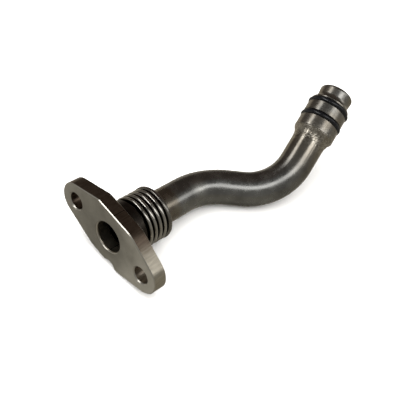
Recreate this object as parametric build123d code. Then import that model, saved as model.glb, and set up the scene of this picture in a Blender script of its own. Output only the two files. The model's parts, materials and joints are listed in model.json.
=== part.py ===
from build123d import *
from math import cos, radians, sin
import os

# Turbo oil line: a two-bolt flange, a short steel bellows, a tube with two bends and a
# turned plug with two O-rings. It is built along its own line, with X from the mating
# face into the tube, Y along the two bolt holes and Z across them, and then laid down
# as it rests on a floor at Z = 0.

# Flange plate
BOLT_SPACING = 38.0
BOLT_HOLE_D = 7.0
BOLT_HOLE_EDGE = 0.4
PLATE_T = 5.7
PLATE_EDGE = 0.3
LOBE_R = 7.6
TOP_FLAT = 12.6
BOTTOM_FLAT = 11.8
FLAT_END = 8.8
CORNER_R = 2.0
TOP_SOFT_CORNER_END = 7.2
TOP_SOFT_CORNER_R = 10.0
SOFT_CORNER_END = 4.5
SOFT_CORNER_R = 9.0
PORT_D = 12.6
PORT_LIP_R = 1.0

# Shallow scallop in the lower edge of the plate
SCALLOP_AT = 4.9
SCALLOP_R = 3.3
SCALLOP_DEPTH = 1.5
SCALLOP_SOFT_R = 0.9

# Bellows, with a collar at the plate and a ring on the tube
COLLAR_WALL = 1.6
COLLAR_LEN = 5.2
COLLAR_EDGE = 0.5
CONVOLUTIONS = 4
PITCH = 2.33
FOLD_HEIGHT = 1.9
ROOT_D = 17.6
BELLOWS_WALL = 0.36
END_RING_WALL = 2.1
END_RING_T = 1.7
END_RING_OFF = 0.29
END_RING_EDGE = 0.6
CUFF_SEAT = 0.9
BRAZE_GAP = 0.03

# Bent tube
TUBE_D = 14.3
TUBE_WALL = 1.0
TUBE_IN_BELLOWS = 1.6
RUN_1 = 16.1
RUN_2 = 6.6
RUN_3 = 12.4
BEND_R = 24.1
BEND_1_ANGLE = 47.7
BEND_2_ANGLE = 63.7
BEND_1_LEAN_ANGLE = 16.4
TWIST_ANGLE = 39.0

# Plug with two O-ring grooves
PLUG_LAND_D = 17.6
PLUG_WALL = 1.5
SOCKET_DEPTH = 5.0
BASE_LIP = 0.35
BASE_TAPER = 2.2
LAND_BELOW = 5.0
GROOVE_W = 2.5
RING_SPACING = 6.8
FRONT_WALL = 0.5
FRONT_WALL_D = 17.0
FLARE_LEN = 2.4
WAIST_D = 14.2
NOSE_D = 14.9
NOSE_LEN = 4.2
NOSE_ROUND = 1.2
NOSE_ROUND_SHARE = 0.8
BORE_EDGE = 0.3

# O-rings
RING_SECTION = 2.0
RING_OD = 18.5
RING_SEAT_GAP = 0.02

# Half a turn in degrees, and how near a point counts as touching
HALF_TURN = 180.0
TOUCH = 0.0001

# Attitude on the floor
LIE_ROLL = 9.58
LIE_PITCH = 7.60

# Places along the line, from the mating face
COLLAR_END = PLATE_T + COLLAR_LEN
FIRST_ROOT = COLLAR_END + PITCH / 4
LAST_ROOT = FIRST_ROOT + CONVOLUTIONS * PITCH
END_RING_AT = LAST_ROOT + END_RING_OFF
END_RING_END = END_RING_AT + END_RING_T
TUBE_START = END_RING_AT - TUBE_IN_BELLOWS


def round_at(across, up, radius):
    """Circle that makes one rounded corner of the plate."""
    return Pos(across, up) * Circle(radius)


def plate_outline():
    """Two lobes joined by straight tapers to a wide middle, with a scallop below."""
    lobes = [round_at(side * BOLT_SPACING / 2, 0, LOBE_R) for side in (-1, 1)]
    crisp = [
        round_at(FLAT_END, TOP_FLAT - CORNER_R, CORNER_R),
        round_at(-FLAT_END, CORNER_R - BOTTOM_FLAT, CORNER_R),
    ]
    soft = [
        round_at(-TOP_SOFT_CORNER_END, TOP_FLAT - TOP_SOFT_CORNER_R, TOP_SOFT_CORNER_R),
        round_at(SOFT_CORNER_END, SOFT_CORNER_R - BOTTOM_FLAT, SOFT_CORNER_R),
    ]
    rounds = lobes + crisp + soft
    outline = make_hull([edge for corner in rounds for edge in corner.edges()])
    scallop_up = SCALLOP_DEPTH - BOTTOM_FLAT - SCALLOP_R
    outline -= round_at(-SCALLOP_AT, scallop_up, SCALLOP_R)
    middle = Vector(-SCALLOP_AT, scallop_up)
    corners = [
        corner for corner in outline.vertices()
        if abs((Vector(*corner) - middle).length - SCALLOP_R) < TOUCH
    ]
    return fillet(corners, SCALLOP_SOFT_R)


def make_flange_plate():
    """Flat plate with two bolt holes and the oil port, its mating face at X = 0."""
    plate = extrude(Plane.YZ * plate_outline(), PLATE_T)
    faces = plate.faces().sort_by(Axis.X)
    rims = faces[0].outer_wire().edges() + faces[-1].outer_wire().edges()
    plate = chamfer(rims, PLATE_EDGE)
    for side in (-1, 1):
        hole = Cylinder(BOLT_HOLE_D / 2, PLATE_T, align=(Align.CENTER, Align.CENTER, Align.MIN))
        sink = Cone(BOLT_HOLE_D / 2 + BOLT_HOLE_EDGE, BOLT_HOLE_D / 2, BOLT_HOLE_EDGE,
                    align=(Align.CENTER, Align.CENTER, Align.MIN))
        axis = Pos(0, side * BOLT_SPACING / 2, 0) * Rot(0, 90, 0)
        far_face = Pos(PLATE_T, side * BOLT_SPACING / 2, 0) * Rot(0, -90, 0)
        plate -= axis * (hole + sink) + far_face * sink
    return plate - port()


def port():
    """Oil port with a rounded mouth, as a solid to cut."""
    bore = PORT_D / 2
    profile = Polyline((PORT_LIP_R, bore), (PLATE_T, bore), (PLATE_T, 0), (0, 0), (0, bore + PORT_LIP_R))
    profile += RadiusArc((0, bore + PORT_LIP_R), (PORT_LIP_R, bore), -PORT_LIP_R)
    return revolve(make_face(profile), Axis.X)


def make_collar():
    """Collar on the back of the plate, around the first cuff of the bellows."""
    inner = ROOT_D / 2 + BRAZE_GAP
    outer = ROOT_D / 2 + COLLAR_WALL
    section = Polyline(
        (PLATE_T, inner),
        (PLATE_T, outer),
        (COLLAR_END - COLLAR_EDGE, outer),
        (COLLAR_END, outer - COLLAR_EDGE),
        (COLLAR_END, inner),
        close=True,
    )
    return revolve(make_face(section), Axis.X)


def convolution_line(shift, start, end):
    """One skin of the bellows: arcs over the crests and under the roots, with cuffs."""
    quarter = PITCH / 4
    crest_mid = ROOT_D / 2 + FOLD_HEIGHT - BELLOWS_WALL / 2 - quarter
    root_mid = ROOT_D / 2 - BELLOWS_WALL / 2 + quarter
    cuff = root_mid - quarter + shift
    crest_r = quarter + shift
    root_r = quarter - shift
    line = Line((start, cuff), (FIRST_ROOT, cuff))
    for turn in range(CONVOLUTIONS):
        crest = FIRST_ROOT + (turn + 0.5) * PITCH
        rise, fall = crest - crest_r, crest + crest_r
        line += CenterArc((crest - PITCH / 2, root_mid), root_r, -90, 90)
        line += Line((rise, root_mid), (rise, crest_mid))
        line += CenterArc((crest, crest_mid), crest_r, 180, -180)
        line += Line((fall, crest_mid), (fall, root_mid))
        line += CenterArc((crest + PITCH / 2, root_mid), root_r, 180, 90)
    return line + Line((LAST_ROOT, cuff), (end, cuff))


def make_bellows():
    """Thin corrugated sleeve that lets the line flex behind the plate."""
    half = BELLOWS_WALL / 2
    start = PLATE_T + BRAZE_GAP
    end = END_RING_AT + CUFF_SEAT - BRAZE_GAP
    outside = convolution_line(half, start, end)
    inside = convolution_line(-half, start, end)
    skin = outside + inside
    for x in (start, end):
        cuff = ROOT_D / 2
        skin += Line((x, cuff - BELLOWS_WALL), (x, cuff))
    return revolve(make_face(skin), Axis.X)


def make_end_ring():
    """Stepped ring that closes the bellows onto the tube."""
    inner = TUBE_D / 2 + BRAZE_GAP
    seat = ROOT_D / 2 + BRAZE_GAP
    outer = ROOT_D / 2 + END_RING_WALL
    step = END_RING_AT + CUFF_SEAT
    section = make_face(Polyline(
        (END_RING_AT, seat),
        (END_RING_AT, outer),
        (END_RING_END, outer),
        (END_RING_END, inner),
        (step, inner),
        (step, seat),
        close=True,
    ))
    rim = section.vertices().group_by(Axis.Y)[-1]
    return revolve(fillet(rim, END_RING_EDGE), Axis.X)


def bend(station, turn, angle):
    """Arc of the tube's middle line from a station, and the station at its end."""
    start = station * Rot(0, 0, turn)

    def along(swept):
        a = radians(swept)
        return (BEND_R * (1 - cos(a)), 0, BEND_R * sin(a))

    arc = start * ThreePointArc(along(0), along(angle / 2), along(angle))
    return arc, start * Pos(*along(angle)) * Rot(0, angle, 0)


def run(station, length):
    """Straight stretch of the tube's middle line, and the station at its end."""
    return station * Line((0, 0, 0), (0, 0, length)), station * Pos(0, 0, length)


def tube_route():
    """Middle line of the tube, and the place where the plug's base comes."""
    entry = Location(Plane((TUBE_START, 0, 0), x_dir=(0, -1, 0), z_dir=(1, 0, 0)))
    run_1, at = run(entry, END_RING_END - TUBE_START + RUN_1)
    bend_1, at = bend(at, -BEND_1_LEAN_ANGLE, BEND_1_ANGLE)
    run_2, at = run(at, RUN_2)
    bend_2, at = bend(at, HALF_TURN + TWIST_ANGLE, BEND_2_ANGLE)
    run_3, base = run(at, RUN_3)
    tail, _ = run(base, SOCKET_DEPTH - BRAZE_GAP)
    return entry, run_1 + bend_1 + run_2 + bend_2 + run_3 + tail, base


def make_tube():
    """Round tube swept along its route, open from end to end."""
    entry, route, _ = tube_route()
    wall = Circle(TUBE_D / 2) - Circle(TUBE_D / 2 - TUBE_WALL)
    return sweep(Plane(entry) * wall, path=route)


def groove_middles():
    """Heights of the two O-ring grooves above the plug's base."""
    first = BASE_TAPER + LAND_BELOW + GROOVE_W / 2
    return first, first + RING_SPACING


def make_plug():
    """Turned plug: tapered base with a socket for the tube, two grooves and a nose."""
    land = PLUG_LAND_D / 2
    floor = RING_OD / 2 - RING_SECTION - RING_SEAT_GAP
    bore = min(WAIST_D, NOSE_D) / 2 - PLUG_WALL
    socket = TUBE_D / 2 + BRAZE_GAP
    base = [(socket, 0), (socket + BASE_LIP, 0), (land, BASE_TAPER)]
    for middle in groove_middles():
        low, high = middle - GROOVE_W / 2, middle + GROOVE_W / 2
        base += [(land, low), (floor, low), (floor, high), (land, high)]
    base[-1] = (FRONT_WALL_D / 2, high)
    wall_top = high + FRONT_WALL
    waist_at = wall_top + FLARE_LEN
    tip = waist_at + NOSE_LEN
    profile = Polyline(*base, (FRONT_WALL_D / 2, wall_top))
    profile += TangentArc((WAIST_D / 2, waist_at), (FRONT_WALL_D / 2, wall_top), tangent=(0, -1))
    profile += Polyline(
        (WAIST_D / 2, waist_at),
        (NOSE_D / 2, tip),
        (bore + BORE_EDGE, tip),
        (bore, tip - BORE_EDGE),
        (bore, SOCKET_DEPTH),
        (socket, SOCKET_DEPTH),
        (socket, 0),
    )
    section = make_face(profile)
    rim = section.vertices().group_by(Axis.Y)[-1].sort_by(Axis.X)[-1]
    tip_width = NOSE_D / 2 - bore - BORE_EDGE
    section = fillet(rim, min(NOSE_ROUND, NOSE_ROUND_SHARE * tip_width))
    return revolve(Plane.XZ * section, Axis.Z)


def make_o_ring(middle):
    """O-ring lying in its groove."""
    return Pos(0, 0, middle) * Torus((RING_OD - RING_SECTION) / 2, RING_SECTION / 2)


def build_line():
    """Every piece in its place along the line."""
    plug_base = tube_route()[2]
    lower, upper = groove_middles()
    return {
        "flange_plate": make_flange_plate(),
        "bellows_collar": make_collar(),
        "bellows": make_bellows(),
        "bellows_end_ring": make_end_ring(),
        "bent_tube": make_tube(),
        "plug": plug_base * make_plug(),
        "lower_o_ring": plug_base * make_o_ring(lower),
        "upper_o_ring": plug_base * make_o_ring(upper),
    }


def lay_down(pieces):
    """Turn the line to its resting attitude and set it on the floor about the origin."""
    tilt = Rot(0, LIE_PITCH, 0) * Rot(LIE_ROLL, 0, 0)
    turned = {name: tilt * piece for name, piece in pieces.items()}
    box = Compound(list(turned.values())).bounding_box()
    shift = Pos(-box.center().X, -box.center().Y, -box.min.Z)
    return {name: shift * piece for name, piece in turned.items()}


os.makedirs("parts", exist_ok=True)
for name, piece in lay_down(build_line()).items():
    export_step(piece, f"parts/{name}.step")
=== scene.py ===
import bmesh
import bpy
import json
from math import cos, pi, radians, sin, tan
from mathutils import Matrix, Vector, noise


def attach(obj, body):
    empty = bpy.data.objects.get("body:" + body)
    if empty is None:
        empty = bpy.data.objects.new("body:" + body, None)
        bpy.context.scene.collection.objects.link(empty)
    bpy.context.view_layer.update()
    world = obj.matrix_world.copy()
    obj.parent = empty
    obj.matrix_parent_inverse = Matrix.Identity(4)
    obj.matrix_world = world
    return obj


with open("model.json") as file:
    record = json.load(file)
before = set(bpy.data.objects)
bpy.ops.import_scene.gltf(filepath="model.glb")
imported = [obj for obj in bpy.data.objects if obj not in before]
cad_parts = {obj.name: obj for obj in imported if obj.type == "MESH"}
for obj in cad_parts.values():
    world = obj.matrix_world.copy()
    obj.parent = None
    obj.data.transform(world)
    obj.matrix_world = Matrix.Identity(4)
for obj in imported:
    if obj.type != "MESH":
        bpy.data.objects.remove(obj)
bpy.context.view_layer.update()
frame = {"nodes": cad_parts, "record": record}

# Turbo oil line as it lies on a pale floor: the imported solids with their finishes, and
# the run braze that is laid on where the tube meets its end ring and its plug.
# Lengths are in millimetres where a name ends in _MM or _mm, and in metres elsewhere.

MM = 0.001

# Camera, at the angle that the line was photographed from, with its angles in degrees
CAMERA_AT = (-0.147933, -0.110332, 0.206693)
CAMERA_LOOKS_AT = (-0.019970, -0.008260, 0.014000)
CAMERA_ROLL = 8.8346
FIELD_OF_VIEW = 34.2055
SENSOR_MM = 36.0
CLIP_START = 0.01

# Room light: grey walls and floor on the camera's side, a dark far side above the floor,
# and a lighter stretch of floor ahead of the plate's face. A side starts and ends where a
# level direction lines up this much with it.
CAMERA_SIDE = (-0.782, -0.624, 0.0)
FAR_SIDE_STARTS, FAR_SIDE_ENDS = -0.25, -0.80
FACE_SIDE = (-0.788, 0.616, 0.0)
FACE_SIDE_STARTS, FACE_SIDE_ENDS = 0.35, 0.95
FAR_SIDE_COLOUR = "534b45"
FAR_FLOOR_BOUNCE = "b3ac9f"
FACE_FLOOR_BOUNCE = "aaa79f"
FLOOR_BOUNCE = "8b877d"
UNDER_BOUNCE = "6b675f"
LOW_WALL = "868480"
HIGH_WALL = "7e7d79"
CEILING = "6f6e6c"

# Heights where one part of the room turns into the next: -1 is straight down, 0 is the
# horizon and 1 is straight up
UNDER_STARTS, UNDER_ENDS = -0.8, -1.0
FLOOR_ENDS, WALL_STARTS = -0.1, 0.05
LOW_WALL_ENDS, HIGH_WALL_STARTS = 0.0, 0.7
HIGH_WALL_ENDS, CEILING_STARTS = 0.7, 0.96

# Soft boxes: the bearing from +Y towards +X and the height above the floor of one end
# and of the other, then the half width, all in degrees, and the brightness
SOFT_BOXES = {
    "long_box_behind": ((-120.6, 52.0), (156.4, 45.0), 9.0, 1.85),
    "low_box_behind": ((157.4, 38.0), (124.0, 22.0), 9.0, 1.1),
    "small_box_ahead": ((-84.0, 46.0), (-48.0, 42.0), 8.0, 4.5),
    "wide_box_beyond": ((-32.0, 51.0), (4.0, 52.0), 8.5, 1.85),
}
SOFT_BOX_AWAY = 1.5

# Floor, with its flat part and the sweep round it, and the light over it
FLOOR_R = 2.4
SWEEP_R = 1.4
FLOOR_COLOUR = "f2f1ef"
FLOOR_PALEST = "f4f3f1"
FLOOR_ROUGHNESS = 0.9
FLOOR_LIGHT_SIZE = 3.2
FLOOR_LIGHT_HEIGHT = 1.6
FLOOR_LIGHT_WATTS = 80.0

# Sizes of the line that the finishes and the braze follow
TUBE_R_MM = 7.15
RING_END_MM = 22.79
FIRST_BEND_MM = 31.0
PORT_R_MM = 6.3
PLUG_SEAT_ABOVE_BASE_MM = 11.85
PLUG_LIP_R_MM = 7.53
PLUG_LAND_R_MM = 8.8
PLUG_TAPER_MM = 2.2
# Centre of the painted highlight on the back of the first bend
PAINTED_HIGHLIGHT_SPOT_MM = (-15.6, -3.6, 14.0)
# Radii where the bellows turn from painted shade in the folds to painted highlight on the crests
BELLOWS_CREST_MM = 10.7
BELLOWS_FLANK_MM = 9.7

# How squarely the plate's face and its chamfers at 45 degrees face along the line
FACE_STARTS, FACE_FULL = 0.8, 0.95
CHAMFER_FACING = 0.707
CHAMFER_STARTS, CHAMFER_FULL = 0.2, 0.1

BRAZE_COLOUR = "cbc5b8"

# Sockets of a Mix node that mixes colours, and of one that mixes plain values
SHARE, FROM_COLOUR, TO_COLOUR, MIXED_COLOUR = 0, 6, 7, 2
FROM_VALUE, TO_VALUE, MIXED_VALUE = 2, 3, 0


def linear(hex_colour):
    """Turns an sRGB hex colour into the linear colour that a shader takes."""
    made = []
    for at in (0, 2, 4):
        part = int(hex_colour[at:at + 2], 16) / 255.0
        made.append(part / 12.92 if part <= 0.04045 else ((part + 0.055) / 1.055) ** 2.4)
    return (*made, 1.0)


def per_metre(size_mm):
    """Says how many patterns of this real size fit in a metre, which is a texture's scale."""
    return 1000.0 / size_mm


def add(tree, kind, gives, inputs, **settings):
    """Adds one node with its settings, and its inputs as links, hex colours or values."""
    made = tree.nodes.new(kind)
    for name, value in settings.items():
        setattr(made, name, value)
    for name, value in inputs.items():
        if isinstance(value, bpy.types.NodeSocket):
            tree.links.new(value, made.inputs[name])
        else:
            made.inputs[name].default_value = linear(value) if isinstance(value, str) else value
    return made.outputs[gives]


def new_finish(name, **values):
    """Starts a material, and sets on its shader what is the same all over."""
    finish = bpy.data.materials.new(name)
    finish.use_nodes = True
    tree = finish.node_tree
    shader = tree.nodes["Principled BSDF"]
    for socket, value in values.items():
        shader.inputs[socket.title()].default_value = value
    return finish, tree, shader, add(tree, "ShaderNodeTexCoord", "Object", {})


def join(tree, shader, colour, roughness, normal):
    """Leads a finished colour, roughness and relief to the shader."""
    tree.links.new(colour, shader.inputs["Base Color"])
    tree.links.new(roughness, shader.inputs["Roughness"])
    tree.links.new(normal, shader.inputs["Normal"])


def from_axis(tree, place, start, axis):
    """Gives the distance along an axis, and the distance out from it, in metres."""
    offset = add(
        tree, "ShaderNodeVectorMath", "Vector", {0: place, 1: tuple(start)},
        operation="SUBTRACT",
    )
    along = add(
        tree, "ShaderNodeVectorMath", "Value", {0: offset, 1: tuple(axis)},
        operation="DOT_PRODUCT",
    )
    on_axis = add(
        tree, "ShaderNodeVectorMath", "Vector", {0: tuple(axis), "Scale": along},
        operation="SCALE",
    )
    out = add(
        tree, "ShaderNodeVectorMath", "Value", {0: offset, 1: on_axis}, operation="DISTANCE",
    )
    return along, out


def mottle(tree, place, size_mm, low=0.0, high=1.0, sharp=0.5, detail=4.0):
    """Gives uneven patches of a real size, running from a low value to a high one."""
    middle = 0.5
    patches = add(
        tree, "ShaderNodeTexNoise", "Fac",
        {"Vector": place, "Scale": per_metre(size_mm), "Detail": detail, "Roughness": 0.6},
    )
    return add(
        tree, "ShaderNodeMapRange", "Result",
        {"Value": patches, "From Min": middle - middle * sharp,
         "From Max": middle + middle * sharp, "To Min": low, "To Max": high},
    )


def fade(tree, value, start, end, from_colour, to_colour):
    """Turns one colour smoothly into another while a value goes from a start to an end."""
    share = add(
        tree, "ShaderNodeMapRange", "Result",
        {"Value": value, "From Min": start, "From Max": end}, interpolation_type="SMOOTHSTEP",
    )
    return add(
        tree, "ShaderNodeMix", MIXED_COLOUR,
        {SHARE: share, FROM_COLOUR: from_colour, TO_COLOUR: to_colour}, data_type="RGBA",
    )


def ground_face_colour(tree, place, out, across):
    """Ground face of the plate: a grey that is stained darker round the port and rubbed
    lighter towards the bolts, most of all the lower one."""
    stained_to_mm, clean_from_mm, lower_end_pull = 6.0, 29.0, -0.3
    stains = mottle(tree, place, size_mm=7.0)
    wander = mottle(tree, place, size_mm=12.0, low=-4.0 * MM, high=4.0 * MM)
    out_about = add(tree, "ShaderNodeMath", "Value", {0: out, 1: wander}, operation="ADD")
    lower_side = add(
        tree, "ShaderNodeMath", "Value", {0: across, 1: lower_end_pull, 2: out_about},
        operation="MULTIPLY_ADD",
    )
    stained = add(
        tree, "ShaderNodeMix", MIXED_COLOUR,
        {SHARE: stains, FROM_COLOUR: "837f76", TO_COLOUR: "a09c92"}, data_type="RGBA",
    )
    clean = add(
        tree, "ShaderNodeMix", MIXED_COLOUR,
        {SHARE: stains, FROM_COLOUR: "bcb8ac", TO_COLOUR: "d6d2c8"}, data_type="RGBA",
    )
    return fade(tree, lower_side, stained_to_mm * MM, clean_from_mm * MM, stained, clean)


def cut_edge_colour(tree, place, out, across):
    """Cut edge of the plate: brown with streaks across it, lighter round the lower end and
    in the port as painted light, with a fine dark line across its middle."""
    lit_end_starts_mm, lit_end_full_mm = -13.0, -20.0
    port_light_ends_mm, port_light_full_mm = PORT_R_MM + 0.5, PORT_R_MM + 0.2
    line_at_mm, line_half_width_mm = -0.3, 0.11
    # Cutting streaks are really some 0.3 mm wide, and are drawn at 0.7 mm to show.
    across_edge = add(
        tree, "ShaderNodeMapping", "Vector", {"Vector": place, "Scale": (0.08, 1.0, 1.0)},
    )
    streaks = mottle(tree, across_edge, size_mm=0.7)
    flank = add(
        tree, "ShaderNodeMix", MIXED_COLOUR,
        {SHARE: streaks, FROM_COLOUR: "64564b", TO_COLOUR: "827567"}, data_type="RGBA",
    )
    # Lighter round the lower end: painted light, for the side of the edge that faces the bright
    # floor.
    end = add(
        tree, "ShaderNodeMix", MIXED_COLOUR,
        {SHARE: streaks, FROM_COLOUR: "b1a999", TO_COLOUR: "d2cbbb"}, data_type="RGBA",
    )
    cut = fade(tree, across, lit_end_starts_mm * MM, lit_end_full_mm * MM, flank, end)
    # Lighter in the port: painted light on the lit bore wall.
    cut = fade(tree, out, port_light_ends_mm * MM, port_light_full_mm * MM, cut, "b3ab9c")
    line = add(
        tree, "ShaderNodeMath", "Value",
        {0: across, 1: line_at_mm * MM, 2: line_half_width_mm * MM}, operation="COMPARE",
    )
    return add(
        tree, "ShaderNodeMix", MIXED_COLOUR,
        {SHARE: line, FROM_COLOUR: cut, TO_COLOUR: "2b2420"}, data_type="RGBA",
    )


def ground_flange_steel(line_start, line_axis):
    """Mild steel plate with a ground grey face, a brown cut edge, and chamfers that are
    rubbed bright, so that they draw a thin light rim round the face and its holes."""
    finish, tree, shader, place = new_finish("ground_flange_steel", metallic=1.0)
    out = from_axis(tree, place, line_start, line_axis)[1]
    across = add(tree, "ShaderNodeSeparateXYZ", "Y", {"Vector": place})
    facing = add(tree, "ShaderNodeNewGeometry", "Normal", {})
    square_on = add(
        tree, "ShaderNodeVectorMath", "Value", {0: facing, 1: tuple(line_axis)},
        operation="DOT_PRODUCT",
    )
    square_on = add(tree, "ShaderNodeMath", "Value", {0: square_on}, operation="ABSOLUTE")
    off_chamfer = add(
        tree, "ShaderNodeMath", "Value", {0: square_on, 1: CHAMFER_FACING},
        operation="SUBTRACT",
    )
    off_chamfer = add(tree, "ShaderNodeMath", "Value", {0: off_chamfer}, operation="ABSOLUTE")
    rubbed = add(
        tree, "ShaderNodeMapRange", "Result",
        {"Value": off_chamfer, "From Min": CHAMFER_STARTS, "From Max": CHAMFER_FULL},
        interpolation_type="SMOOTHSTEP",
    )
    colour = fade(
        tree, square_on, FACE_STARTS, FACE_FULL, cut_edge_colour(tree, place, out, across),
        ground_face_colour(tree, place, out, across),
    )
    colour = add(
        tree, "ShaderNodeMix", MIXED_COLOUR,
        {SHARE: rubbed, FROM_COLOUR: colour, TO_COLOUR: "cfcbc1"}, data_type="RGBA",
    )
    dull = mottle(tree, place, size_mm=3.0, low=0.26, high=0.42)
    dull = add(
        tree, "ShaderNodeMix", MIXED_VALUE, {SHARE: rubbed, FROM_VALUE: dull, TO_VALUE: 0.28},
        data_type="FLOAT",
    )
    # Grinding lines are really some 0.05 mm apart, and are drawn at 0.35 mm to show.
    along_face = add(
        tree, "ShaderNodeMapping", "Vector", {"Vector": place, "Scale": (0.04, 0.04, 1.0)},
    )
    lines = mottle(tree, along_face, size_mm=0.35, sharp=1.0)
    grain = add(
        tree, "ShaderNodeBump", "Normal", {"Height": lines, "Distance": 0.012 * MM},
    )
    join(tree, shader, colour, dull, grain)
    return finish


def collar_steel_painted_shade():
    """Turned steel collar, painted nearly black as the shade between the plate and the
    bellows, dull and faintly pitted.
    """
    finish, tree, shader, place = new_finish("collar_steel_painted_shade", metallic=1.0)
    patches = mottle(tree, place, size_mm=2.5)
    # Nearly black: painted shade between the plate and the bellows.
    colour = add(
        tree, "ShaderNodeMix", MIXED_COLOUR,
        {SHARE: patches, FROM_COLOUR: "332f2b", TO_COLOUR: "4f4942"}, data_type="RGBA",
    )
    dull = mottle(tree, place, size_mm=1.0, low=0.26, high=0.45)
    pits = mottle(tree, place, size_mm=0.5)
    pits = add(tree, "ShaderNodeBump", "Normal", {"Height": pits, "Distance": 0.015 * MM})
    join(tree, shader, colour, dull, pits)
    return finish


def formed_bellows_steel(line_start, line_axis):
    """Hydroformed stainless bellows, darkened in its folds as painted shade and lightened on
    its crests as painted highlight, so that each fold shows as a black gap between two
    sharp lines of light."""
    finish, tree, shader, place = new_finish("formed_bellows_steel", metallic=1.0)
    out = from_axis(tree, place, line_start, line_axis)[1]
    patches = mottle(tree, place, size_mm=3.0)
    # Dark in the folds: painted shade.
    folds_painted_shade = add(
        tree, "ShaderNodeMix", MIXED_COLOUR,
        {SHARE: patches, FROM_COLOUR: "191715", TO_COLOUR: "2c2925"}, data_type="RGBA",
    )
    # Light on the crests: painted highlight.
    bright = add(
        tree, "ShaderNodeMix", MIXED_COLOUR,
        {SHARE: patches, FROM_COLOUR: "aaa7a0", TO_COLOUR: "cfcbc3"}, data_type="RGBA",
    )
    colour = fade(tree, out, BELLOWS_FLANK_MM * MM, BELLOWS_CREST_MM * MM, folds_painted_shade, bright)
    dull = mottle(tree, place, size_mm=1.2, low=0.11, high=0.2)
    marks = mottle(tree, place, size_mm=0.8)
    marks = add(tree, "ShaderNodeBump", "Normal", {"Height": marks, "Distance": 0.006 * MM})
    join(tree, shader, colour, dull, marks)
    return finish


def turned_ring_steel():
    """Turned steel ring under light scale: a mottled grey, darker than the plug and shiny
    enough to catch the light along its edge."""
    finish, tree, shader, place = new_finish("turned_ring_steel", metallic=1.0)
    patches = mottle(tree, place, size_mm=2.5)
    colour = add(
        tree, "ShaderNodeMix", MIXED_COLOUR,
        {SHARE: patches, FROM_COLOUR: "75726c", TO_COLOUR: "9c9891"}, data_type="RGBA",
    )
    dull = mottle(tree, place, size_mm=1.0, low=0.16, high=0.3)
    marks = mottle(tree, place, size_mm=0.6)
    marks = add(tree, "ShaderNodeBump", "Normal", {"Height": marks, "Distance": 0.008 * MM})
    join(tree, shader, colour, dull, marks)
    return finish


def tube_skin_colour(tree, place, from_face, from_plug, by_plug):
    """Colour of the tube: a cloudy gunmetal grey with a few specks of rust, browned up to
    the first bend and below the plug, lightened on the back of that bend as a painted
    highlight, and spattered with braze under the plug."""
    browning_half_mm = 1.5
    highlight_ends_mm, highlight_full_mm = 5.0, 0.5
    spatter_starts_mm, spatter_full_mm = -7.5, -2.0
    wander = mottle(tree, place, size_mm=4.0, low=-0.8 * MM, high=0.8 * MM)
    from_face = add(tree, "ShaderNodeMath", "Value", {0: from_face, 1: wander}, operation="ADD")
    by_ring = add(
        tree, "ShaderNodeMapRange", "Result",
        {"Value": from_face, "From Min": (FIRST_BEND_MM + browning_half_mm) * MM,
         "From Max": (FIRST_BEND_MM - browning_half_mm) * MM},
        interpolation_type="SMOOTHSTEP",
    )
    browned = add(tree, "ShaderNodeMath", "Value", {0: by_ring, 1: by_plug}, operation="MAXIMUM")
    clouds = mottle(tree, place, size_mm=8.0)
    grey = add(
        tree, "ShaderNodeMix", MIXED_COLOUR,
        {SHARE: clouds, FROM_COLOUR: "757472", TO_COLOUR: "a5a5a2"}, data_type="RGBA",
    )
    brown = add(
        tree, "ShaderNodeMix", MIXED_COLOUR,
        {SHARE: clouds, FROM_COLOUR: "736c62", TO_COLOUR: "a29a8d"}, data_type="RGBA",
    )
    skin = add(
        tree, "ShaderNodeMix", MIXED_COLOUR,
        {SHARE: browned, FROM_COLOUR: grey, TO_COLOUR: brown}, data_type="RGBA",
    )
    rust = mottle(tree, place, size_mm=1.4, low=-11.0, high=0.7, sharp=0.9)
    rust = add(tree, "ShaderNodeClamp", "Result", {"Value": rust})
    skin = add(
        tree, "ShaderNodeMix", MIXED_COLOUR,
        {SHARE: rust, FROM_COLOUR: skin, TO_COLOUR: "7a5a42"}, data_type="RGBA",
    )
    # Lighter patch on the back of the first bend: a painted highlight.
    spot = tuple(length * MM for length in PAINTED_HIGHLIGHT_SPOT_MM)
    from_highlight_spot = add(
        tree, "ShaderNodeVectorMath", "Value", {0: place, 1: spot}, operation="DISTANCE",
    )
    from_highlight_spot = add(tree, "ShaderNodeMath", "Value", {0: from_highlight_spot, 1: wander}, operation="ADD")
    skin = fade(tree, from_highlight_spot, highlight_ends_mm * MM, highlight_full_mm * MM, skin, "c3c2bd")
    under_plug = add(
        tree, "ShaderNodeMapRange", "Result",
        {"Value": from_plug, "From Min": spatter_starts_mm * MM,
         "From Max": spatter_full_mm * MM},
        interpolation_type="SMOOTHSTEP",
    )
    spatter = mottle(tree, place, size_mm=0.9, sharp=0.2)
    spatter = add(
        tree, "ShaderNodeMath", "Value", {0: spatter, 1: under_plug}, operation="MULTIPLY",
    )
    return add(
        tree, "ShaderNodeMix", MIXED_COLOUR,
        {SHARE: spatter, FROM_COLOUR: skin, TO_COLOUR: BRAZE_COLOUR}, data_type="RGBA",
    )


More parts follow.
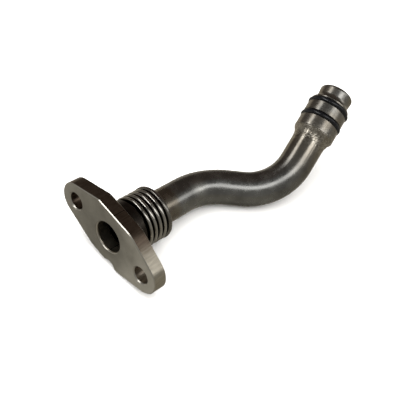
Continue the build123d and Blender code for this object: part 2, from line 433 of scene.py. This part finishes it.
def drawn_tube_steel(line_start, line_axis, plug_base, plug_axis):
    """Drawn steel tube, darkened by the brazing heat: a smooth skin with a satin sheen that
    comes and goes, shinier towards the plug, and long shallow waves from the bending."""
    browning_starts_mm, browning_full_mm = -26.0, -2.0
    finish, tree, shader, place = new_finish("drawn_tube_steel", metallic=1.0)
    from_face = from_axis(tree, place, line_start, line_axis)[0]
    from_plug = from_axis(tree, place, plug_base, plug_axis)[0]
    by_plug = add(
        tree, "ShaderNodeMapRange", "Result",
        {"Value": from_plug, "From Min": browning_starts_mm * MM,
         "From Max": browning_full_mm * MM},
        interpolation_type="SMOOTHSTEP",
    )
    skin = tube_skin_colour(tree, place, from_face, from_plug, by_plug)
    smooth = mottle(tree, place, size_mm=5.0, low=0.14, high=0.21)
    satin = mottle(tree, place, size_mm=4.0, low=0.17, high=0.34)
    dull = add(
        tree, "ShaderNodeMix", MIXED_VALUE,
        {SHARE: by_plug, FROM_VALUE: satin, TO_VALUE: smooth}, data_type="FLOAT",
    )
    # Scuffs are really finer than 0.2 mm, and are drawn at 0.7 mm to show.
    scuffs = mottle(tree, place, size_mm=0.7, low=-0.02, high=0.02)
    dull = add(tree, "ShaderNodeMath", "Value", {0: dull, 1: scuffs}, operation="ADD")
    # Drawing lines are really finer than 0.1 mm, and are drawn at 0.5 mm to show.
    along_tube = add(
        tree, "ShaderNodeMapping", "Vector", {"Vector": place, "Scale": (0.1, 1.0, 1.0)},
    )
    lines = mottle(tree, along_tube, size_mm=0.5)
    lines = add(tree, "ShaderNodeBump", "Normal", {"Height": lines, "Distance": 0.0015 * MM})
    waves = mottle(tree, place, size_mm=9.0, detail=1.5)
    waves = add(
        tree, "ShaderNodeBump", "Normal",
        {"Height": waves, "Distance": 0.045 * MM, "Normal": lines},
    )
    join(tree, shader, skin, dull, waves)
    return finish


def turned_plug_steel(plug_base, plug_axis):
    """Turned steel plug, polished and lighter than the tube, with cloudy wear, brown
    stains, braze spattered over its foot, and fine rings left by the tool."""
    spatter_ends_mm, spatter_full_mm = 5.0, 2.2
    finish, tree, shader, place = new_finish("turned_plug_steel", metallic=1.0)
    along = from_axis(tree, place, plug_base, plug_axis)[0]
    patches = mottle(tree, place, size_mm=4.0)
    colour = add(
        tree, "ShaderNodeMix", MIXED_COLOUR,
        {SHARE: patches, FROM_COLOUR: "8b8a86", TO_COLOUR: "afada8"}, data_type="RGBA",
    )
    stains = mottle(tree, place, size_mm=6.0, low=-0.2, high=0.9)
    colour = add(
        tree, "ShaderNodeMix", MIXED_COLOUR,
        {SHARE: stains, FROM_COLOUR: colour, TO_COLOUR: "9c9180"}, data_type="RGBA",
    )
    at_foot = add(
        tree, "ShaderNodeMapRange", "Result",
        {"Value": along, "From Min": spatter_ends_mm * MM, "From Max": spatter_full_mm * MM},
        interpolation_type="SMOOTHSTEP",
    )
    spatter = mottle(tree, place, size_mm=0.9, low=-0.8, sharp=0.2)
    spatter = add(
        tree, "ShaderNodeMath", "Value", {0: spatter, 1: at_foot}, operation="MULTIPLY",
    )
    colour = add(
        tree, "ShaderNodeMix", MIXED_COLOUR,
        {SHARE: spatter, FROM_COLOUR: colour, TO_COLOUR: BRAZE_COLOUR}, data_type="RGBA",
    )
    dull = mottle(tree, place, size_mm=3.0, low=0.2, high=0.32)
    # Tool rings are really about 0.1 mm apart, and are drawn at 0.3 mm to show.
    rings = add(
        tree, "ShaderNodeTexNoise", "Fac", {"W": along, "Scale": per_metre(0.3), "Detail": 2.0},
        noise_dimensions="1D",
    )
    rings = add(tree, "ShaderNodeBump", "Normal", {"Height": rings, "Distance": 0.006 * MM})
    join(tree, shader, colour, dull, rings)
    return finish


def moulded_ring_rubber():
    """Moulded nitrile rubber: oily black with sharp glints and a faint dusting of grey."""
    finish, tree, shader, place = new_finish("moulded_ring_rubber", metallic=0.0)
    dust = mottle(tree, place, size_mm=1.2)
    colour = add(
        tree, "ShaderNodeMix", MIXED_COLOUR,
        {SHARE: dust, FROM_COLOUR: "050507", TO_COLOUR: "0e0f12"}, data_type="RGBA",
    )
    dull = mottle(tree, place, size_mm=0.8, low=0.1, high=0.2)
    grain = mottle(tree, place, size_mm=0.5)
    grain = add(tree, "ShaderNodeBump", "Normal", {"Height": grain, "Distance": 0.004 * MM})
    join(tree, shader, colour, dull, grain)
    return finish


def run_nickel_braze():
    """Nickel braze that ran and froze: a warm silver skin, bright on its lumps and dark
    with flux in its pits."""
    finish, tree, shader, place = new_finish("run_nickel_braze", metallic=1.0)
    pits = mottle(tree, place, size_mm=0.8, sharp=0.35)
    colour = add(
        tree, "ShaderNodeMix", MIXED_COLOUR,
        {SHARE: pits, FROM_COLOUR: "7f766a", TO_COLOUR: BRAZE_COLOUR}, data_type="RGBA",
    )
    dull = mottle(tree, place, size_mm=0.6, low=0.34, high=0.2)
    lumps = add(tree, "ShaderNodeBump", "Normal", {"Height": pits, "Distance": 0.014 * MM})
    join(tree, shader, colour, dull, lumps)
    return finish


def pale_matt_floor():
    """Matt painted floor: nearly white, with broad clouds too faint to draw the eye."""
    finish, tree, shader, place = new_finish(
        "pale_matt_floor", metallic=0.0, roughness=FLOOR_ROUGHNESS,
    )
    clouds = mottle(tree, place, size_mm=400.0)
    colour = add(
        tree, "ShaderNodeMix", MIXED_COLOUR,
        {SHARE: clouds, FROM_COLOUR: FLOOR_COLOUR, TO_COLOUR: FLOOR_PALEST}, data_type="RGBA",
    )
    tree.links.new(colour, shader.inputs["Base Color"])
    return finish


def set_down(name, made, finish):
    """Makes a smooth object in the scene out of built faces, with its finish."""
    mesh = bpy.data.meshes.new(name)
    made.to_mesh(mesh)
    made.free()
    mesh.shade_smooth()
    mesh.materials.append(finish)
    piece = bpy.data.objects.new(name, mesh)
    bpy.context.scene.collection.objects.link(piece)
    return piece


def ring_of_braze(name, start, axis, profile, seed, finish):
    """Lays braze round the tube: the profile gives its section at each turn as points
    of distance out from the axis and distance along it."""
    turn_steps, noise_reach = 180, 2.0
    first = axis.orthogonal().normalized()
    second = axis.cross(first)
    made = bmesh.new()
    hoops = []
    for turn in range(turn_steps):
        angle = 2 * pi * turn / turn_steps
        outward = first * cos(angle) + second * sin(angle)
        spot = outward * noise_reach + Vector((seed, 0.0, 0.0))
        hoops.append([
            made.verts.new(start + outward * out * MM + axis * along * MM)
            for out, along in profile(spot)
        ])
    for turn in range(turn_steps):
        here, there = hoops[turn], hoops[(turn + 1) % turn_steps]
        for at in range(len(here)):
            after = (at + 1) % len(here)
            made.faces.new((here[at], there[at], there[after], here[after]))
    bmesh.ops.recalc_face_normals(made, faces=made.faces)
    piece = set_down(name, made, finish)
    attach(piece, "root")


def uneven(spot, *waves):
    """Gives 1 made uneven by waves of noise, each with its strength and its fineness."""
    return sum((strength * noise.noise(spot * fineness) for strength, fineness in waves), 1.0)


def ring_seam_profile(spot):
    """Section of the small hollow bead between the end ring and the tube."""
    reach_mm, rise_mm, sunk_mm, steps = 0.6, 0.6, 0.3, 8
    reach = reach_mm * uneven(spot, (0.35, 1.0), (0.2, 3.1))
    rise = rise_mm * uneven(spot, (0.5, 1.7), (0.2, 4.3))
    points = []
    for step in range(steps + 1):
        bow = 0.5 * pi * step / steps
        points.append((TUBE_R_MM + reach * (1.0 - sin(bow)), rise * (1.0 - cos(bow))))
    points.append((TUBE_R_MM - sunk_mm, rise))
    points.append((TUBE_R_MM - sunk_mm, -sunk_mm))
    points.append((TUBE_R_MM + reach, -sunk_mm))
    return points


def plug_taper_r_mm(along_mm):
    """Gives the plug's radius at this height on the taper below its land."""
    return PLUG_LIP_R_MM + (PLUG_LAND_R_MM - PLUG_LIP_R_MM) * along_mm / PLUG_TAPER_MM


def plug_skin_profile(spot):
    """Section of the lumpy skin from the plug's land down its taper and onto the tube."""
    reach_mm, thin_mm, lump_mm, sunk_mm, top_mm, steps = 2.9, 0.03, 0.05, 0.3, 2.05, 20
    hollow = 2.2
    lumps_about, lumps_along = 4.0, 1.1
    fine_about, fine_along, fine_share = 9.0, 2.6, 0.6
    deepest_pit = -0.2
    reach = reach_mm * uneven(spot, (0.35, 0.9), (0.25, 3.3))
    top_out = plug_taper_r_mm(top_mm)
    points = []
    for step in range(steps + 1):
        share = step / steps
        along = -reach + (top_mm + reach) * share
        out = TUBE_R_MM + (top_out - TUBE_R_MM) * share ** hollow
        lumps = noise.noise(spot * lumps_about + Vector((0.0, 0.0, along * lumps_along)))
        fine = noise.noise(spot * fine_about + Vector((0.0, along * fine_along, 0.0)))
        # The lumps die away to both ends of the section.
        full_between = 4.0 * share * (1.0 - share)
        lumps = lump_mm * max(lumps + fine_share * fine, deepest_pit) * full_between
        under = plug_taper_r_mm(along) if along > 0.0 else TUBE_R_MM
        points.append((max(out + lumps, under) + thin_mm, along))
    points.append((TUBE_R_MM - sunk_mm, top_mm - sunk_mm))
    points.append((TUBE_R_MM - sunk_mm, -reach))
    return points


def place_camera():
    """Sets the camera where the line was seen from."""
    lens = bpy.data.cameras.new("camera")
    lens.sensor_width = SENSOR_MM
    lens.lens = SENSOR_MM / 2 / tan(radians(FIELD_OF_VIEW) / 2)
    lens.clip_start = CLIP_START
    camera = bpy.data.objects.new("camera", lens)
    bpy.context.scene.collection.objects.link(camera)
    camera.location = CAMERA_AT
    look = Vector(CAMERA_LOOKS_AT) - Vector(CAMERA_AT)
    level = look.to_track_quat("-Z", "Y").to_matrix()
    camera.rotation_euler = (level @ Matrix.Rotation(radians(CAMERA_ROLL), 3, "Z")).to_euler()
    bpy.context.scene.camera = camera


def light_room():
    """Makes the soft room light: grey on the camera's side, dark beyond, and below the
    horizon what the floor throws back, less from straight under the line."""
    world = bpy.data.worlds.new("soft_room")
    world.use_nodes = True
    bpy.context.scene.world = world
    tree = world.node_tree
    direction = add(tree, "ShaderNodeTexCoord", "Generated", {})
    height = add(tree, "ShaderNodeSeparateXYZ", "Z", {"Vector": direction})
    level = add(
        tree, "ShaderNodeVectorMath", "Vector", {0: direction, 1: (1.0, 1.0, 0.0)},
        operation="MULTIPLY",
    )
    level = add(tree, "ShaderNodeVectorMath", "Vector", {0: level}, operation="NORMALIZE")
    to_camera_side = add(
        tree, "ShaderNodeVectorMath", "Value", {0: level, 1: CAMERA_SIDE},
        operation="DOT_PRODUCT",
    )
    to_face_side = add(
        tree, "ShaderNodeVectorMath", "Value", {0: level, 1: FACE_SIDE},
        operation="DOT_PRODUCT",
    )
    wall = fade(tree, height, LOW_WALL_ENDS, HIGH_WALL_STARTS, LOW_WALL, HIGH_WALL)
    wall = fade(tree, height, HIGH_WALL_ENDS, CEILING_STARTS, wall, CEILING)
    wall = fade(
        tree, to_camera_side, FAR_SIDE_STARTS, FAR_SIDE_ENDS, wall, FAR_SIDE_COLOUR,
    )
    bounce = fade(
        tree, to_camera_side, FAR_SIDE_STARTS, FAR_SIDE_ENDS, FLOOR_BOUNCE, FAR_FLOOR_BOUNCE,
    )
    bounce = fade(
        tree, to_face_side, FACE_SIDE_STARTS, FACE_SIDE_ENDS, bounce, FACE_FLOOR_BOUNCE,
    )
    bounce = fade(tree, height, UNDER_STARTS, UNDER_ENDS, bounce, UNDER_BOUNCE)
    room = fade(tree, height, FLOOR_ENDS, WALL_STARTS, bounce, wall)
    tree.links.new(room, tree.nodes["Background"].inputs["Color"])


def hang_lamp(name, shape, at):
    """Hangs an area lamp at a place, and gives its light and its object."""
    lamp = bpy.data.lights.new(name, "AREA")
    lamp.shape = shape
    light = bpy.data.objects.new(name, lamp)
    bpy.context.scene.collection.objects.link(light)
    light.location = at
    return lamp, light


def towards(bearing, height):
    """Gives the direction with this bearing from +Y towards +X and this height, in degrees."""
    turn, rise = radians(bearing), radians(height)
    return Vector((sin(turn) * cos(rise), cos(turn) * cos(rise), sin(rise)))


def hang_soft_boxes():
    """Hangs the soft boxes about the line, each from its one end to its other."""
    for name, (one_end, other_end, half_width, brightness) in SOFT_BOXES.items():
        one, other = towards(*one_end) * SOFT_BOX_AWAY, towards(*other_end) * SOFT_BOX_AWAY
        lamp, light = hang_lamp(name, "RECTANGLE", (one + other) / 2)
        lamp.size = (other - one).length
        lamp.size_y = 2 * SOFT_BOX_AWAY * tan(radians(half_width))
        lamp.energy = brightness * pi * lamp.size * lamp.size_y
        long_way, back = (other - one).normalized(), light.location.normalized()
        across = back.cross(long_way)
        light.rotation_euler = Matrix((long_way, across, back)).transposed().to_euler()


def hang_floor_light():
    """Hangs the wide light that whitens the floor and shows in no metal."""
    lamp, light = hang_lamp("floor_light", "DISK", (0.0, 0.0, FLOOR_LIGHT_HEIGHT))
    lamp.size = FLOOR_LIGHT_SIZE
    lamp.energy = FLOOR_LIGHT_WATTS
    light.visible_glossy = False


def lay_floor():
    """Lays the pale floor, which sweeps up far from the line on every side."""
    turn_steps, rise_steps = 96, 24
    made = bmesh.new()
    middle = made.verts.new((0.0, 0.0, 0.0))
    hoops = []
    for step in range(rise_steps + 1):
        bow = 0.5 * pi * step / rise_steps
        out, up = FLOOR_R + SWEEP_R * sin(bow), SWEEP_R * (1.0 - cos(bow))
        hoops.append([
            made.verts.new((out * cos(angle), out * sin(angle), up))
            for angle in (2 * pi * turn / turn_steps for turn in range(turn_steps))
        ])
    for turn in range(turn_steps):
        after = (turn + 1) % turn_steps
        made.faces.new((middle, hoops[0][turn], hoops[0][after]))
        for inner, outer in zip(hoops, hoops[1:]):
            made.faces.new((inner[turn], outer[turn], outer[after], inner[after]))
    floor = set_down("pale_floor", made, pale_matt_floor())
    floor.visible_glossy = False


def dress(node_name, finish):
    """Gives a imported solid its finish."""
    solid = frame["nodes"][node_name]
    if not solid.data.materials:
        solid.data.materials.append(finish)
    for at in range(len(solid.material_slots)):
        solid.material_slots[at].material = finish


def mount(name):
    """Gives the place and the direction of one of the record's mounts."""
    found = next(m for m in frame["record"]["mounts"] if m["name"] == name)
    return Vector(found["pos_m"]), Vector(found["axis"]).normalized()


line_start, out_of_face = mount("flange_bolts")
line_axis = -out_of_face
plug_seat, plug_axis = mount("plug_seat")
plug_base = plug_seat - plug_axis * PLUG_SEAT_ABOVE_BASE_MM * MM
ring_end = line_start + line_axis * RING_END_MM * MM

rubber = moulded_ring_rubber()
braze = run_nickel_braze()
dress("flange_plate", ground_flange_steel(line_start, line_axis))
dress("bellows_collar", collar_steel_painted_shade())
dress("bellows", formed_bellows_steel(line_start, line_axis))
dress("bellows_end_ring", turned_ring_steel())
dress("bent_tube", drawn_tube_steel(line_start, line_axis, plug_base, plug_axis))
dress("plug", turned_plug_steel(plug_base, plug_axis))
dress("lower_o_ring", rubber)
dress("upper_o_ring", rubber)

ring_of_braze(
    "plug_braze_skin", plug_base, plug_axis, plug_skin_profile, seed=3.0, finish=braze,
)
ring_of_braze(
    "ring_braze_seam", ring_end, line_axis, ring_seam_profile, seed=11.0, finish=braze,
)

place_camera()
light_room()
hang_soft_boxes()
hang_floor_light()
lay_floor()
bpy.context.scene.view_settings.view_transform = "Standard"
